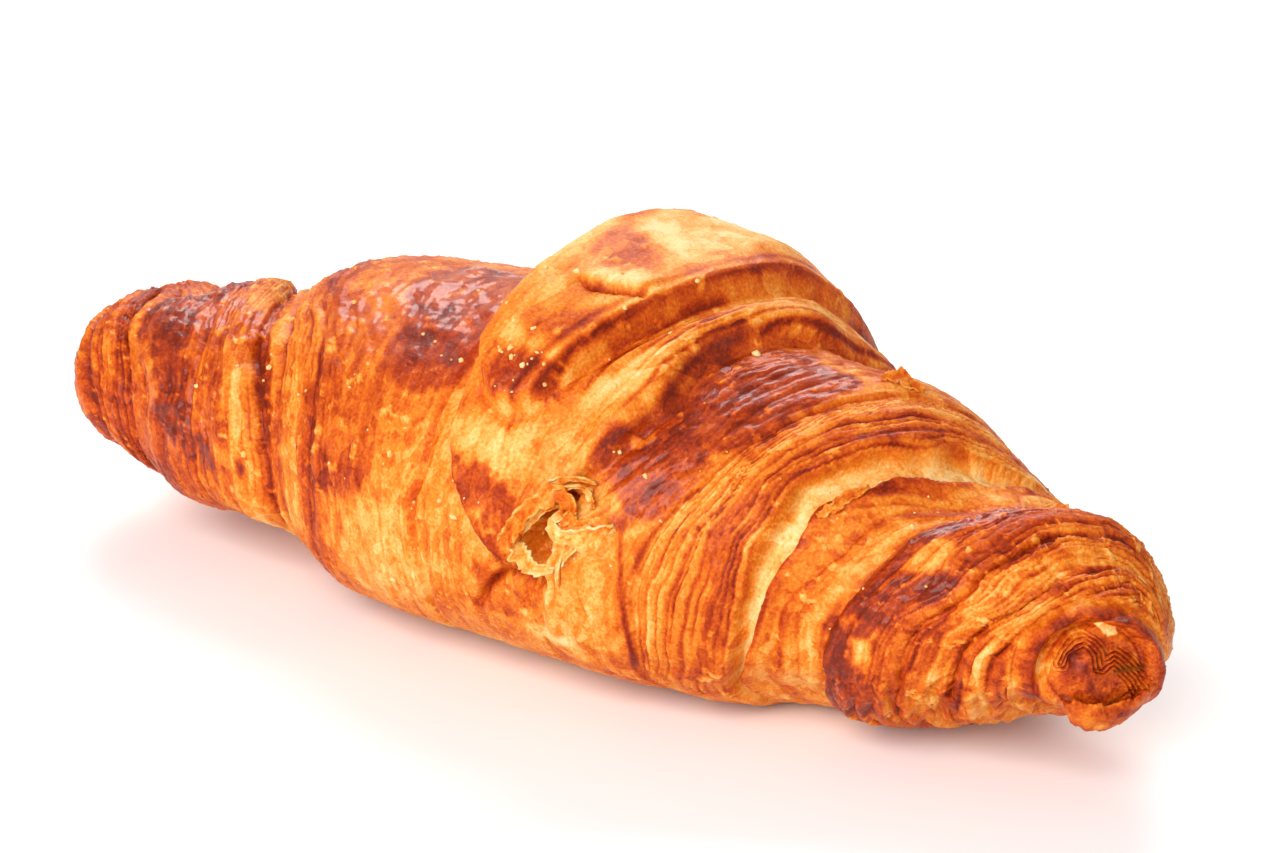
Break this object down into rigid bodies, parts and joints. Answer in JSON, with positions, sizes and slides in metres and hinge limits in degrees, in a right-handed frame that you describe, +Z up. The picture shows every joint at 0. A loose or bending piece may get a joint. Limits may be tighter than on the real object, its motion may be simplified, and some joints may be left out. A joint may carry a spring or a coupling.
{
  "type": "croissant",
  "caption": "Baked butter croissant: a tapered roll of laminated dough with stepped wraps, a raised last wrap over the middle, blunt ends and a flat base to rest on.",
  "frame": {"origin": "middle of the box's base, on the flat patch underneath where the croissant rests", "axes": "+X along the roll, towards the end where the wraps' edges are most open; -Y is the side where the last wrap's tips end; +Z up"},
  "size_m": [0.179, 0.073, 0.0585],
  "materials": {
    "crust": "egg-washed, flaky baked crust, glossy where glazed and matt where the dough is pale"
  },
  "bodies": {
    "root": {"croissant": "crust"}
  },
  "joints": []
}
